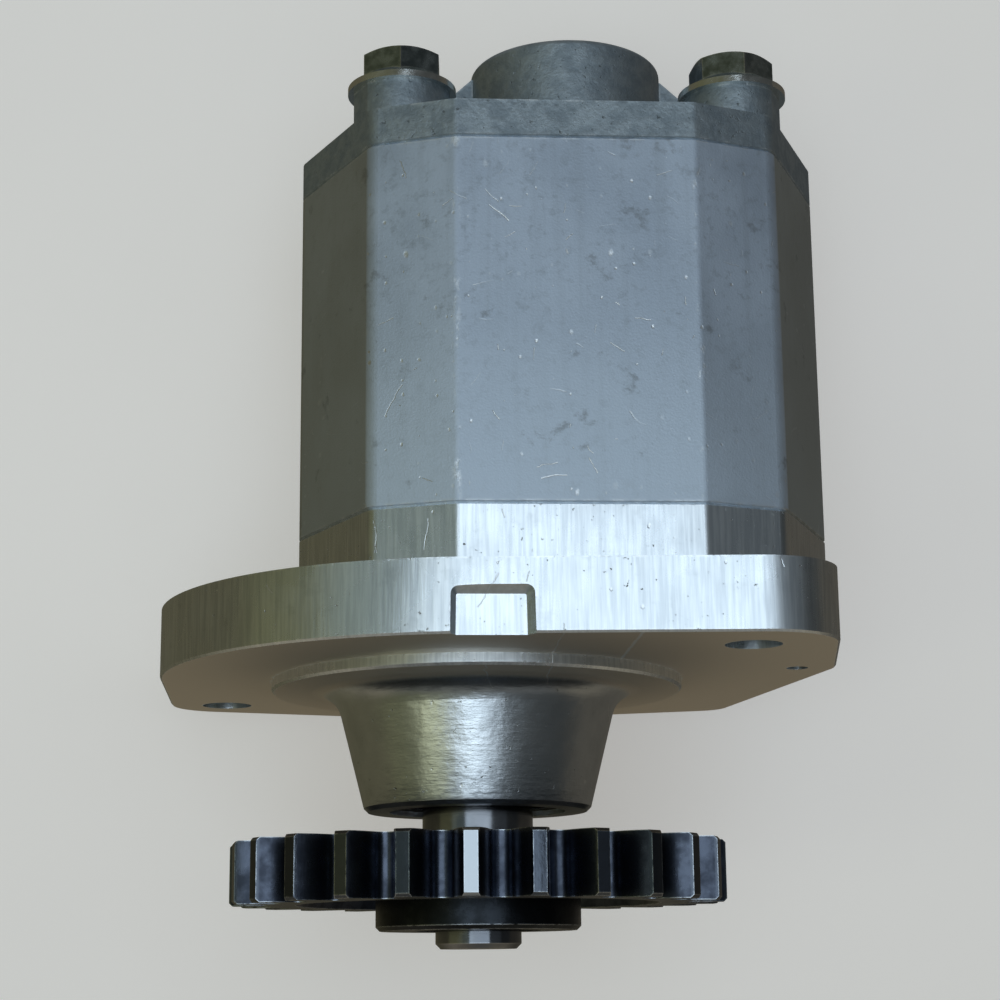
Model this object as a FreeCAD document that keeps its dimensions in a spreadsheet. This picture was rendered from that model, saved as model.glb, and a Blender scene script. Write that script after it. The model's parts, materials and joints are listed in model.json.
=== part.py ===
import FreeCAD, Part
import Sketcher
import math
import os
import re

# External gear pump with an engine-type drive gear on its shaft.
# Frame: origin on the drive shaft's axis in the plane of the mounting face. +Y runs along the
# shaft from the drive gear to the rear cover, +X points from the drive shaft to the driven one,
# and +Z is the side opposite the outlet port. Every piece is drawn with the shaft direction as
# its local Z, the drive end up, so AXIS stands it along the pump.

Vector = FreeCAD.Vector
AXIS = FreeCAD.Rotation(Vector(1, 0, 0), 90)
doc = FreeCAD.newDocument("gear_pump")

# ---------------------------------------------------------------- driving dimensions (mm)
SIZES = {
    # stations along the pump, measured from the mounting face
    "nose_end": -26.1, "gear_back": -32.2, "gear_front": -44.2, "hub_front": -49.3, "shaft_end": -52.8,
    "front_joint": 28.6, "rear_joint": 101.8, "cover_back": 109.4, "bolt_seat": 115.5, "boss_top": 131.4,
    # pump gears and their bearings
    "teeth": 12, "gear_module": 3, "gear_pressure_angle": 25, "backlash": 0.2, "centre_distance": 36,
    "gear_tip": 20.85, "gear_root": 14.4, "chamber_bore": 21.15, "block_radius": 21.1, "block_width": 20,
    "side_gap": 0.1, "journal": 8.5, "bush_bore": 8.55, "bush_outer": 10, "press_gap": 0.02,
    # housing section, half widths and heights from its middle
    "flat_half": 23.5, "flat_height": 39.3, "corner_half": 40, "corner_height": 33.2, "side_half": 54,
    "side_height": 3, "corner_round": 4, "facet_round": 2.5, "side_round": 5,
    # mounting flange: body circle and the lobes round its holes
    "joint_break": 0.35,
    "flange_thick": 13.5, "flange_radius": 63.3,
    "left_hole_x": -52.5, "left_hole_z": -37.5, "left_lobe": 12,
    "right_hole_x": 47.5, "right_hole_z": 50, "right_lobe": 15.5,
    "pin_hole_x": 61.5, "pin_hole_z": 20, "pin_lobe": 7.5, "pin_hole": 2.1, "pin_hole_depth": 10,
    "heel_x": 51, "heel_z": -42, "heel_lobe": 7.5, "mount_hole": 5.25, "rim_break": 0.4,
    # locating spigot and nose
    "spigot_radius": 41.275, "spigot_height": 2.3, "nose_base": 28.5, "nose_tip": 22.7,
    "nose_fillet": 6, "shaft_clear": 9.2,
    # notch in the rim of the flange
    "notch_x": -0.6, "notch_width": 15.4, "notch_height": 8.6, "notch_depth": 2.3, "notch_lean": 0.2,
    "notch_corner": 1.6, "notch_draft": 30,
    # clamping bolts (M10 flange bolts) and dowels
    "bolt_half_x": 33.6, "bolt_half_z": 25.2, "bolt_shank": 4.95, "bolt_hole": 5.3, "bolt_thread": 5,
    "bolt_length": 110, "bolt_depth": 24.6, "bolt_flange": 10.9, "bolt_flange_thick": 1.3, "bolt_flats": 15,
    "bolt_head": 8.1, "bolt_skirt": 1.9, "boss_radius": 9.7,
    "dowel_x": 46.8, "dowel_z": 6, "dowel_radius": 2.5, "dowel_length": 10,
    # ports
    "inlet_x": 2, "inlet_boss": 20.3, "inlet_thread": 13.22, "inlet_depth": 27, "inlet_chamfer": 1.2,
    "boss_round": 1.2, "gusset_thick": 6, "gusset_drop": 2,
    "outlet_y": 65.2, "outlet_thread": 10.48, "outlet_depth": 16, "outlet_spot": 17, "outlet_spot_depth": 1,
    "outlet_drill": 7, "outlet_drill_end": 8, "suction_radius": 6.5, "suction_z": 14.5, "suction_end": 62,
    "pocket_depth": 5.7, "pocket_half": 6.5, "pocket_low": 8,
    # seals
    "seal_inner": 22.2, "seal_outer": 24.2, "seal_depth": 1.6, "seal_slack": 0.1,
    "balance_inner": 12.6, "balance_outer": 15.2, "balance_depth": 2, "balance_bar": 1.3,
    "relief_radius": 2.6, "relief_depth": 1.2, "relief_z": 7,
    "lip_seal_outer": 15, "lip_seal_width": 7, "lip_seal_back": -5.8, "lip_radius": 8.55,
    "lip_height": 2.2, "lip_foot": 1, "lip_neck": 0.9, "lip_bead": 1.9, "seal_web": 1.4, "seal_shell": 1.2,
    "spring_wire": 0.55, "spring_height": 2.8, "seal_play": 0.1,
    # outrigger ball bearing, 17 x 35 x 10
    "bearing_back": -13.3, "bearing_width": 10, "bearing_outer": 17.5, "bearing_pitch": 13, "ball": 2.38,
    "ball_count": 10, "race_gap": 0.1, "inner_land": 11.3, "outer_land": 14.7,
    "cage_inner": 12.1, "cage_outer": 13.9, "cage_width": 5.6,
    "ring_thick": 1.5, "ring_groove": 18.6, "ring_inner": 15.2, "ring_gap": 24, "ring_lug": 2.1,
    "ring_turn": 60, "collar_radius": 11,
    # drive gear, 25 teeth at 7 teeth per inch of pitch diameter
    "drive_teeth": 25, "drive_module": 3.6286, "drive_pressure_angle": 20, "drive_tip": 48.98,
    "drive_root": 40.8, "drive_phase": 94.5, "hub_radius": 20.3, "web_inner": 22.5, "web_outer": 36,
    "web_recess": 3, "hub_recess": 12.5, "hub_recess_depth": 2.2, "key_width": 5, "key_length": 10,
    "key_depth": 3, "key_height": 5,
    "clip_thick": 1, "clip_inner": 8.1, "clip_outer": 10.6, "clip_gap": 40, "clip_lug": 1.7,
    "clip_turn": 200, "lug_inset": 0.4, "lug_hole": 0.45,
}

sheet = doc.addObject("Spreadsheet::Sheet", "Sizes")
for row, (alias, size) in enumerate(SIZES.items(), start=1):
    sheet.set(f"A{row}", alias)
    sheet.set(f"B{row}", str(size))
    sheet.setAlias(f"B{row}", alias)
doc.recompute()


def bound(expression):
    """The expression with every alias pointed at the sheet."""
    def point(match):
        return f"Sizes.{match.group(0)}" if match.group(0) in SIZES else match.group(0)
    return re.sub(r"[a-z][a-z_]*", point, str(expression))


def size(expression):
    """The number that an expression of aliases comes to."""
    number = sheet.evalExpression(bound(expression))
    return float(getattr(number, "Value", number))


# ---------------------------------------------------------------- sketch and feature helpers
def new_body(label, station, x="0", z="0"):
    """A body standing along the pump, its local origin at the given station."""
    body = doc.addObject("PartDesign::Body", label)
    body.Label = label
    body.Placement = FreeCAD.Placement(Vector(0, 0, 0), AXIS)
    for name, expression in (("x", x), ("y", station), ("z", z)):
        body.setExpression(f"Placement.Base.{name}", bound(expression))
    return body


def new_sketch(body, role="XY_Plane", offset="0"):
    sketch = body.newObject("Sketcher::SketchObject", "Sketch")
    plane = next(item for item in body.Origin.OriginFeatures if item.Role == role)
    sketch.AttachmentSupport = [(plane, "")]
    sketch.MapMode = "FlatFace"
    sketch.setExpression("AttachmentOffset.Base.z", bound(offset))
    return sketch


def pin_point(sketch, geometry, point, x, y):
    """Hold one point of the sketch at (x, y) from its origin."""
    for kind, expression in (("DistanceX", x), ("DistanceY", y)):
        index = sketch.addConstraint(
            Sketcher.Constraint(kind, -1, 1, geometry, point, size(expression)))
        sketch.setExpression(f"Constraints[{index}]", bound(expression))


def add_circle(sketch, x, y, radius):
    circle = Part.Circle(Vector(size(x), size(y), 0), Vector(0, 0, 1), size(radius))
    geometry = sketch.addGeometry(circle)
    pin_point(sketch, geometry, 3, x, y)
    index = sketch.addConstraint(Sketcher.Constraint("Radius", geometry, size(radius)))
    sketch.setExpression(f"Constraints[{index}]", bound(radius))


def add_polygon(sketch, corners):
    """A closed outline of straight lines through corners given as pairs of expressions."""
    points = [Vector(size(x), size(y), 0) for x, y in corners]
    lines = [sketch.addGeometry(Part.LineSegment(point, points[(i + 1) % len(points)]))
             for i, point in enumerate(points)]
    for i, line in enumerate(lines):
        sketch.addConstraint(Sketcher.Constraint("Coincident", line, 2, lines[(i + 1) % len(lines)], 1))
        pin_point(sketch, line, 1, *corners[i])


def add_belt(sketch, circles):
    """The outline of a belt run counter-clockwise round circles given as (x, y, radius)."""
    rounds = [tuple(size(item) for item in circle) for circle in circles]
    count = len(rounds)
    headings = []
    for i, (x, y, radius) in enumerate(rounds):
        next_x, next_y, next_radius = rounds[(i + 1) % count]
        span = math.hypot(next_x - x, next_y - y)
        heading = math.atan2(next_y - y, next_x - x)
        headings.append(heading - math.acos((radius - next_radius) / span))
    arcs = []
    for i, (x, y, radius) in enumerate(rounds):
        start, end = headings[i - 1], headings[i]
        while end < start:
            end += 2 * math.pi
        circle = Part.Circle(Vector(x, y, 0), Vector(0, 0, 1), radius)
        arcs.append(sketch.addGeometry(Part.ArcOfCircle(circle, start, end)))
    lines = []
    for i, arc in enumerate(arcs):
        leave = sketch.Geometry[arc].EndPoint
        reach = sketch.Geometry[arcs[(i + 1) % count]].StartPoint
        lines.append(sketch.addGeometry(Part.LineSegment(leave, reach)))
    for i, (arc, line) in enumerate(zip(arcs, lines)):
        sketch.addConstraint(Sketcher.Constraint("Tangent", arc, 2, line, 1))
        sketch.addConstraint(Sketcher.Constraint("Tangent", line, 2, arcs[(i + 1) % count], 1))
        pin_point(sketch, arc, 3, circles[i][0], circles[i][1])
        index = sketch.addConstraint(Sketcher.Constraint("Radius", arc, size(circles[i][2])))
        sketch.setExpression(f"Constraints[{index}]", bound(circles[i][2]))


def extrude(body, kind, sketch, length, back=False, taper="0"):
    """A Pad or Pocket of the sketch; back sends it the other way, taper leans its walls."""
    feature = body.newObject(f"PartDesign::{kind}", kind)
    feature.Profile = sketch
    feature.setExpression("Length", bound(length))
    feature.setExpression("TaperAngle", bound(taper))
    feature.Reversed = back
    doc.recompute()
    return feature


def cut_check(body, before):
    """A cut that removed nothing points the wrong way."""
    if body.Shape.Volume >= before - 1e-6:
        raise RuntimeError(f"a cut in {body.Label} removed nothing")


def pad(body, sketch, length, back=False):
    return extrude(body, "Pad", sketch, length, back)


def pocket(body, sketch, length, back=False, taper="0"):
    """A Pocket; back=True cuts towards the drive end, the local +Z."""
    before = body.Shape.Volume
    feature = extrude(body, "Pocket", sketch, length, back, taper)
    cut_check(body, before)
    return feature


def revolve(body, corners, cut=False):
    """Turn a profile of (radius, local Z) corners about the local Z axis."""
    before = body.Shape.Volume if cut else 0
    sketch = new_sketch(body, "XZ_Plane")
    add_polygon(sketch, corners)
    kind = "Groove" if cut else "Revolution"
    feature = body.newObject(f"PartDesign::{kind}", kind)
    feature.Profile = sketch
    feature.ReferenceAxis = (sketch, ["V_Axis"])
    feature.Angle = 360
    doc.recompute()
    if cut:
        cut_check(body, before)
    return feature


def dress(body, kind, edges, radius):
    """Fillet or Chamfer the edges for which the test is true."""
    names = [f"Edge{i}" for i, edge in enumerate(body.Shape.Edges, start=1) if edges(edge)]
    if not names:
        raise RuntimeError(f"no edge to {kind} on {body.Label}")
    feature = body.newObject(f"PartDesign::{kind}", kind)
    feature.Base = (feature.BaseFeature, names)
    feature.setExpression("Radius" if kind == "Fillet" else "Size", bound(radius))
    doc.recompute()
    return feature


def repeat(body, feature, count):
    """Polar copies of one feature about the local Z axis."""
    axis = next(item for item in body.Origin.OriginFeatures if item.Role == "Z_Axis")
    pattern = body.newObject("PartDesign::PolarPattern", "PolarPattern")
    pattern.Originals = [feature]
    pattern.Axis = (axis, [""])
    pattern.Angle = 360
    pattern.setExpression("Occurrences", bound(count))
    body.Tip = pattern
    doc.recompute()
    return pattern


def shape_node(label, shape, station="0", x="0", z="0", spin=0):
    """A piece whose shape is made in code, stood along the pump."""
    node = doc.addObject("Part::Feature", label)
    node.Label = label
    node.Shape = shape
    turn = AXIS.multiply(FreeCAD.Rotation(Vector(0, 0, 1), spin))
    node.Placement = FreeCAD.Placement(Vector(size(x), size(station), size(z)), turn)
    return node


def along(edge, direction):
    """True when the edge is a straight line in the given direction."""
    if edge.Curve.TypeId != "Part::GeomLine":
        return False
    return abs(abs(edge.Curve.Direction.dot(direction)) - 1) < 1e-6


# ---------------------------------------------------------------- gear teeth
def involute(angle):
    return math.tan(angle) - angle


def add_tooth_gap(sketch, teeth, module, pressure_angle, root, outside, slack, turn):
    """One tooth gap, centred on the direction turn (degrees): involute flanks as arcs through
    three of their points, a round bottom below them, closed outside the tip circle."""
    pitch = teeth * module / 2
    pressure = math.radians(pressure_angle)
    base = pitch * math.cos(pressure)
    tooth_half = math.pi / (2 * teeth) - slack / (4 * pitch)

    def corner(radius, side):
        rolled = math.acos(min(1, base / radius))
        gap_half = math.pi / teeth - tooth_half - involute(pressure) + involute(rolled)
        heading = math.radians(turn) + side * gap_half
        return Vector(radius * math.cos(heading), radius * math.sin(heading), 0)

    middle = (base + outside) / 2
    for side in (1, -1):
        sketch.addGeometry(Part.Arc(corner(base, side), corner(middle, side), corner(outside, side)))
    deep = Vector(math.cos(math.radians(turn)), math.sin(math.radians(turn)), 0) * root
    sketch.addGeometry(Part.Arc(corner(base, -1), deep, corner(base, 1)))
    outward = deep * (outside / root)
    sketch.addGeometry(Part.Arc(corner(outside, -1), outward, corner(outside, 1)))


def cut_teeth(body, prefix, first, last, turn):
    """Cut the teeth of a pump gear or the drive gear between two local heights."""
    drive = prefix == "drive"
    teeth, module, angle = (("drive_teeth", "drive_module", "drive_pressure_angle") if drive
                            else ("teeth", "gear_module", "gear_pressure_angle"))
    root, tip = ("drive_root", "drive_tip") if drive else ("gear_root", "gear_tip")
    sketch = new_sketch(body, "XY_Plane", last)
    add_tooth_gap(sketch, int(size(teeth)), size(module), size(angle), size(root),
                  size(tip) + 0.5, size("backlash"), turn)
    gap = pocket(body, sketch, f"{last} - ({first})")
    repeat(body, gap, teeth)


# ---------------------------------------------------------------- housing
SECTION = [("flat_half", "flat_height"), ("-flat_half", "flat_height"), ("-corner_half", "corner_height"),
           ("-side_half", "side_height"), ("-side_half", "-side_height"), ("-corner_half", "-corner_height"),
           ("-flat_half", "-flat_height"), ("flat_half", "-flat_height"), ("corner_half", "-corner_height"),
           ("side_half", "-side_height"), ("side_half", "side_height"), ("corner_half", "corner_height")]
MIDDLE = "centre_distance / 2"
BOLTS = [(f"{MIDDLE} + {a}bolt_half_x", f"{b}bolt_half_z") for a in ("-", "1 * ") for b in ("-", "1 * ")]
BOLT_TURNS = (12, 3, 40, 51)
DOWELS = [(f"{MIDDLE} - dowel_x", "dowel_z"), (f"{MIDDLE} + dowel_x", "-dowel_z")]


def pad_section(body, length, joints, back=False):
    """The faceted outer section that the body and both covers share: rounded corners, and broken
    edges at the stations named in joints."""
    sketch = new_sketch(body)
    add_polygon(sketch, [(f"{MIDDLE} + {x}" if x[0] != "-" else f"{MIDDLE} {x}", z) for x, z in SECTION])
    pad(body, sketch, length, back)
    for half, radius in (("corner_half", "corner_round"), ("flat_half", "facet_round"),
                         ("side_half", "side_round")):
        def edges(edge, half=half):
            if not along(edge, Vector(0, 1, 0)):
                return False
            return abs(abs(edge.Vertexes[0].Point.x - size(MIDDLE)) - size(half)) < 0.01
        dress(body, "Fillet", edges, radius)
    for joint in joints:
        def outline(edge, station=size(joint)):
            return all(abs(vertex.Point.y - station) < 1e-6 for vertex in edge.Vertexes)
        dress(body, "Chamfer", outline, "joint_break")


def circle_pocket(body, places, radius, depth, offset="0", back=False):
    sketch = new_sketch(body, "XY_Plane", offset)
    for x, y in places:
        add_circle(sketch, x, y, radius)
    pocket(body, sketch, depth, back)


def seal_groove(body, back):
    """The racetrack groove for the rubber body seal, in the face at local Z = 0."""
    sketch = new_sketch(body)
    for radius in ("seal_outer", "seal_inner"):
        add_belt(sketch, [("0", "0", radius), ("centre_distance", "0", radius)][::-1])
    pocket(body, sketch, "seal_depth", back)


def make_front_cover():
    """Mounting flange, the nose round the outrigger bearing and the front end of the housing."""
    body = new_body("front_cover", "front_joint")
    pad_section(body, "front_joint - flange_thick", ["front_joint"])
    outline = new_sketch(body, "XY_Plane", "front_joint - flange_thick")
    add_belt(outline, [("0", "0", "flange_radius"), ("left_hole_x", "left_hole_z", "left_lobe"),
                       ("0", "0", "flange_radius"), ("heel_x", "heel_z", "heel_lobe"),
                       ("pin_hole_x", "pin_hole_z", "pin_lobe"),
                       ("right_hole_x", "right_hole_z", "right_lobe")])
    pad(body, outline, "flange_thick")

    def rim(edge):
        return all(abs(vertex.Point.y) < 1e-6 for vertex in edge.Vertexes)
    dress(body, "Chamfer", rim, "rim_break")

    spigot = "front_joint + spigot_height"
    revolve(body, [("0", "front_joint - 1"), ("spigot_radius", "front_joint - 1"),
                   ("spigot_radius", f"{spigot} - 0.5"), ("spigot_radius - 0.5", spigot),
                   ("nose_base", spigot), ("nose_tip", "front_joint - nose_end - 0.8"),
                   ("nose_tip - 0.8", "front_joint - nose_end"), ("0", "front_joint - nose_end")])

    def nose_foot(edge):
        if edge.Curve.TypeId != "Part::GeomCircle":
            return False
        return abs(edge.Curve.Radius - size("nose_base")) < 0.01 and edge.Curve.Center.y < 0
    dress(body, "Fillet", nose_foot, "nose_fillet")

    # stepped bore: shaft clearance, lip seal seat, bearing seat with its ring groove
    seal_back = "front_joint - lip_seal_back"
    seat_back = "front_joint - bearing_back"
    ring_low = f"{seat_back} + bearing_width"
    ring_high = f"{ring_low} + ring_thick + 0.2"
    revolve(body, [("0", "-1"), ("shaft_clear", "-1"), ("shaft_clear", seal_back),
                   ("lip_seal_outer", seal_back), ("lip_seal_outer", seat_back),
                   ("bearing_outer", seat_back), ("bearing_outer", ring_low), ("ring_groove", ring_low),
                   ("ring_groove", ring_high), ("bearing_outer", ring_high),
                   ("bearing_outer", "front_joint - nose_end + 1"), ("0", "front_joint - nose_end + 1")],
            cut=True)
    circle_pocket(body, BOLTS, "bolt_thread", "bolt_depth", back=True)
    circle_pocket(body, DOWELS, "dowel_radius", "dowel_length / 2 + 0.1", back=True)
    circle_pocket(body, [("left_hole_x", "left_hole_z"), ("right_hole_x", "right_hole_z")], "mount_hole",
                  "flange_thick + 1", "front_joint")
    circle_pocket(body, [("pin_hole_x", "pin_hole_z")], "pin_hole", "pin_hole_depth", "front_joint")
    seal_groove(body, back=True)
    cut_rim_notch(body)
    return body


def cut_rim_notch(body):
    """The notch cast in the rim at the mounting face, with leaning walls and two rounded corners. Its
    draft starts at the flange's circle; the cut is upright above it, where the rim's side rises."""
    reach, corner = "(notch_width / 2 - notch_corner)", "notch_corner"
    high, low = "front_joint - notch_height + notch_corner", "front_joint + 4"
    for inward, draft in ((True, "-notch_draft"), (False, "0")):
        sketch = new_sketch(body, "XZ_Plane", "-flange_radius")
        add_belt(sketch, [(f"notch_x - {reach} + notch_lean", high, corner),
                          (f"notch_x + {reach} - notch_lean", high, corner),
                          (f"notch_x + {reach}", low, corner), (f"notch_x - {reach}", low, corner)])
        pocket(body, sketch, "notch_depth", back=inward, taper=draft)


def make_pump_body():
    """The housing: gear chamber, suction gallery, outlet port, bolt and dowel holes."""
    body = new_body("pump_body", "rear_joint")
    length = "rear_joint - front_joint"
    pad_section(body, length, ["front_joint", "rear_joint"])
    for x in ("0", "centre_distance"):
        circle_pocket(body, [(x, "0")], "chamber_bore", f"{length} + 1", back=True)
    circle_pocket(body, BOLTS, "bolt_hole", f"{length} + 1", back=True)
    circle_pocket(body, DOWELS, "dowel_radius", "dowel_length / 2 + 0.1", back=True)
    circle_pocket(body, DOWELS, "dowel_radius", "dowel_length / 2 + 0.1", length)
    circle_pocket(body, [(MIDDLE, "suction_z")], "suction_radius", "rear_joint - suction_end", back=True)
    # outlet port, spot faced, in the face away from the blank one
    for radius, depth in (("outlet_spot", "outlet_spot_depth"), ("outlet_thread", "outlet_depth"),
                          ("outlet_drill", "flat_height - outlet_drill_end")):
        sketch = new_sketch(body, "XZ_Plane", "flat_height")
        add_circle(sketch, MIDDLE, "rear_joint - outlet_y", radius)
        pocket(body, sketch, depth)
    return body


def make_rear_cover():
    """Rear cover with the inlet boss and four bolt bosses that keep within its outline."""
    body = new_body("rear_cover", "rear_joint")
    pad_section(body, "bolt_seat - rear_joint", ["rear_joint"], back=True)
    around = new_sketch(body, "XY_Plane", "rear_joint - bolt_seat")
    span = "2 * side_half"
    add_polygon(around, [(f"-{span}", f"-{span}"), (span, f"-{span}"), (span, span), (f"-{span}", span)])
    for x, z in BOLTS:
        add_circle(around, x, z, "boss_radius")
    pocket(body, around, "bolt_seat - cover_back", back=True)
    inlet = f"{MIDDLE} + inlet_x"
    sketch = new_sketch(body)
    add_circle(sketch, inlet, "0", "inlet_boss")
    pad(body, sketch, "boss_top - rear_joint", back=True)
    # a gusset on each side of the boss, falling at 45 degrees to the back of the cover
    for side in ("-", "1 * "):
        sketch = new_sketch(body, "XZ_Plane", "-gusset_thick / 2")
        top, foot = "rear_joint - boss_top + gusset_drop", "rear_joint - cover_back"
        add_polygon(sketch, [(inlet, top), (f"{inlet} + {side}(inlet_boss)", top),
                             (f"{inlet} + {side}(inlet_boss + boss_top - cover_back)", foot),
                             (inlet, f"{foot} + 1")])
        pad(body, sketch, "gusset_thick")

    def boss_rim(edge):
        return edge.Curve.TypeId == "Part::GeomCircle" and edge.Curve.Center.y > size("boss_top") - 0.01
    dress(body, "Fillet", boss_rim, "boss_round")
    circle_pocket(body, BOLTS, "bolt_hole", "bolt_seat - rear_joint + 1", "rear_joint - bolt_seat", True)
    circle_pocket(body, DOWELS, "dowel_radius", "dowel_length / 2 + 0.1")
    circle_pocket(body, [(inlet, "0")], "inlet_thread", "inlet_depth", "rear_joint - boss_top", True)

    def mouth(edge):
        if edge.Curve.TypeId != "Part::GeomCircle" or abs(edge.Curve.Center.y - size("boss_top")) > 0.01:
            return False
        return abs(edge.Curve.Radius - size("inlet_thread")) < 0.01
    dress(body, "Chamfer", mouth, "inlet_chamfer")
    # the pocket that leads the oil from the inlet to the suction gallery of the body
    sketch = new_sketch(body)
    left, right = f"{MIDDLE} - pocket_half", f"{MIDDLE} + pocket_half"
    high = "suction_z + suction_radius"
    add_polygon(sketch, [(left, "pocket_low"), (right, "pocket_low"), (right, high), (left, high)])
    pocket(body, sketch, "pocket_depth")
    seal_groove(body, back=False)
    return body


def make_body_seal(label, station):
    """Rubber racetrack seal, a little slack in its groove; it stands on the given station."""
    body = new_body(label, station)
    sketch = new_sketch(body)
    for radius in ("seal_outer - seal_slack", "seal_inner + seal_slack"):
        add_belt(sketch, [("centre_distance", "0", radius), ("0", "0", radius)])
    pad(body, sketch, "seal_depth - seal_slack")
    return body


# ---------------------------------------------------------------- bearing blocks and balance seals
def make_block(label, station, gear_up):
    """Bearing block in the gear chamber. gear_up is true where the gears are on its local +Z."""
    body = new_body(label, station)
    for x in ("0", "centre_distance"):
        sketch = new_sketch(body)
        add_circle(sketch, x, "0", "block_radius")
        pad(body, sketch, "block_width")
    circle_pocket(body, [("0", "0"), ("centre_distance", "0")], "bush_outer", "block_width + 1", back=True)
    # relief pockets beside the mesh, in the face towards the gears
    reliefs = [(MIDDLE, "relief_z"), (MIDDLE, "-relief_z")]
    circle_pocket(body, reliefs, "relief_radius", "relief_depth", "block_width" if gear_up else "0",
                  back=not gear_up)
    # groove of the balance seal in the other face
    face = "0" if gear_up else "block_width"
    for x in ("0", "centre_distance"):
        sketch = new_sketch(body, "XY_Plane", face)
        add_circle(sketch, x, "0", "balance_outer")
        add_circle(sketch, x, "0", "balance_inner")
        pocket(body, sketch, "balance_depth", back=gear_up)
    sketch = new_sketch(body, "XY_Plane", face)
    add_bar(sketch, "0")
    pocket(body, sketch, "balance_depth", back=gear_up)
    return body


def add_bar(sketch, slack):
    """The bar that joins the two rings of a balance seal across the middle of the block."""
    reach = "centre_distance / 2 - (balance_inner + balance_outer) / 2"
    low, high = f"-balance_bar + {slack}", f"balance_bar - {slack}"
    add_polygon(sketch, [(f"{MIDDLE} - ({reach})", low), (f"{MIDDLE} + {reach}", low),
                         (f"{MIDDLE} + {reach}", high), (f"{MIDDLE} - ({reach})", high)])


def make_balance_seal(label, station):
    """Rubber seal that parts the pressure zones behind a bearing block."""
    body = new_body(label, station)
    for x in ("0", "centre_distance"):
        sketch = new_sketch(body)
        add_circle(sketch, x, "0", "balance_outer - seal_slack")
        add_circle(sketch, x, "0", "balance_inner + seal_slack")
        pad(body, sketch, "balance_depth - seal_slack")
        if x == "0":
            continue
        sketch = new_sketch(body)
        add_bar(sketch, "seal_slack")
        pad(body, sketch, "balance_depth - seal_slack")
    return body


def make_bush(label, station, x):
    """A plain bearing bush pressed into a block."""
    body = new_body(label, station, x)
    inner, outer = "bush_bore", "bush_outer - press_gap"
    revolve(body, [(inner, "0.6"), (f"{inner} + 0.4", "0.2"), (outer, "0.2"), (outer, "block_width - 0.2"),
                   (f"{inner} + 0.4", "block_width - 0.2"), (inner, "block_width - 0.6")])
    return body


# ---------------------------------------------------------------- shafts and gears
GEAR_LOW = "block_width + side_gap"
GEAR_HIGH = "rear_joint - front_joint - block_width - side_gap"


def make_shaft(label, x, turn, end):
    """A pump gear and its shaft in one piece, up to the local height end; the gear face nearest
    the rear cover is at local block_width + side_gap."""
    body = new_body(label, "rear_joint", x)
    revolve(body, [("0", "1.5"), ("journal - 1", "1.5"), ("journal", "2.5"), ("journal", GEAR_LOW),
                   ("gear_tip - 0.5", GEAR_LOW), ("gear_tip", f"{GEAR_LOW} + 0.5"),
                   ("gear_tip", f"{GEAR_HIGH} - 0.5"), ("gear_tip - 0.5", GEAR_HIGH),
                   ("journal", GEAR_HIGH), ("journal", f"{end} - 1"), ("journal - 1", end), ("0", end)])
    cut_teeth(body, "pump", GEAR_LOW, GEAR_HIGH, turn)
    return body


def make_drive_shaft():
    body = make_shaft("drive_shaft", "0", 0, "rear_joint - shaft_end")
    # keyway, open to the side where the key stands, and the groove of the retaining clip
    sketch = new_sketch(body, "XZ_Plane", "key_depth - journal")
    low = "rear_joint - gear_back + 1.5"
    add_polygon(sketch, [("-key_width / 2", low), ("key_width / 2", low),
                         ("key_width / 2", f"{low} + key_length"), ("-key_width / 2", f"{low} + key_length")])
    pocket(body, sketch, "key_depth + 1")
    clip_low = "rear_joint - hub_front - hub_recess_depth"
    clip_high = f"{clip_low} + clip_thick"
    revolve(body, [("clip_inner", clip_low), ("journal + 1", clip_low), ("journal + 1", clip_high),
                   ("clip_inner", clip_high)], cut=True)
    return body


def make_drive_gear():
    """Spur gear with a hub that stands out in front, a keyway and a recessed web."""
    body = new_body("drive_gear", "gear_back")
    width, hub = "gear_back - gear_front", "gear_back - hub_front"
    bore = "journal + press_gap"
    revolve(body, [(bore, "0"), ("web_inner", "0"), ("web_inner + 1", "web_recess"),
                   ("web_outer - 1", "web_recess"), ("web_outer", "0"), ("drive_tip - 0.6", "0"),
                   ("drive_tip", "0.6"), ("drive_tip", f"{width} - 0.6"), ("drive_tip - 0.6", width),
                   ("web_outer", width), ("web_outer - 1", f"{width} - web_recess"),
                   ("hub_radius + 1", f"{width} - web_recess"), ("hub_radius", f"{width} - web_recess + 1"),
                   ("hub_radius", f"{hub} - 0.8"), ("hub_radius - 0.8", hub),
                   ("hub_recess", hub), ("hub_recess", f"{hub} - hub_recess_depth"),
                   (bore, f"{hub} - hub_recess_depth")])
    gap = "180 / drive_teeth"
    cut_teeth(body, "drive", "0", width, size(f"drive_phase + {gap}"))
    sketch = new_sketch(body)
    half = "key_width / 2 + press_gap"
    high = "journal - key_depth + key_height + 0.2"
    add_polygon(sketch, [(f"-({half})", "journal - 2"), (half, "journal - 2"), (half, high),
                         (f"-({half})", high)])
    pocket(body, sketch, f"{hub} - hub_recess_depth", back=True)
    return body


def make_gear_key():
    """Parallel key between the shaft and the drive gear."""
    body = new_body("gear_key", "gear_back - 1.5", "0", "journal - key_depth")
    sketch = new_sketch(body)
    half = "key_width / 2 - press_gap"
    add_polygon(sketch, [(f"-({half})", "press_gap"), (half, "press_gap"), (half, "key_height"),
                         (f"-({half})", "key_height")])
    pad(body, sketch, "key_length - press_gap")
    return body


# ---------------------------------------------------------------- turned rings, seal and bearing
def make_ring(label, station, inner, outer, length, break_size="0.4"):
    """A plain turned ring with broken outer edges."""
    body = new_body(label, station)
    revolve(body, [(inner, "0"), (f"{outer} - {break_size}", "0"), (outer, break_size),
                   (outer, f"{length} - {break_size}"), (f"{outer} - {break_size}", length),
                   (inner, length)])
    return body


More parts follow.
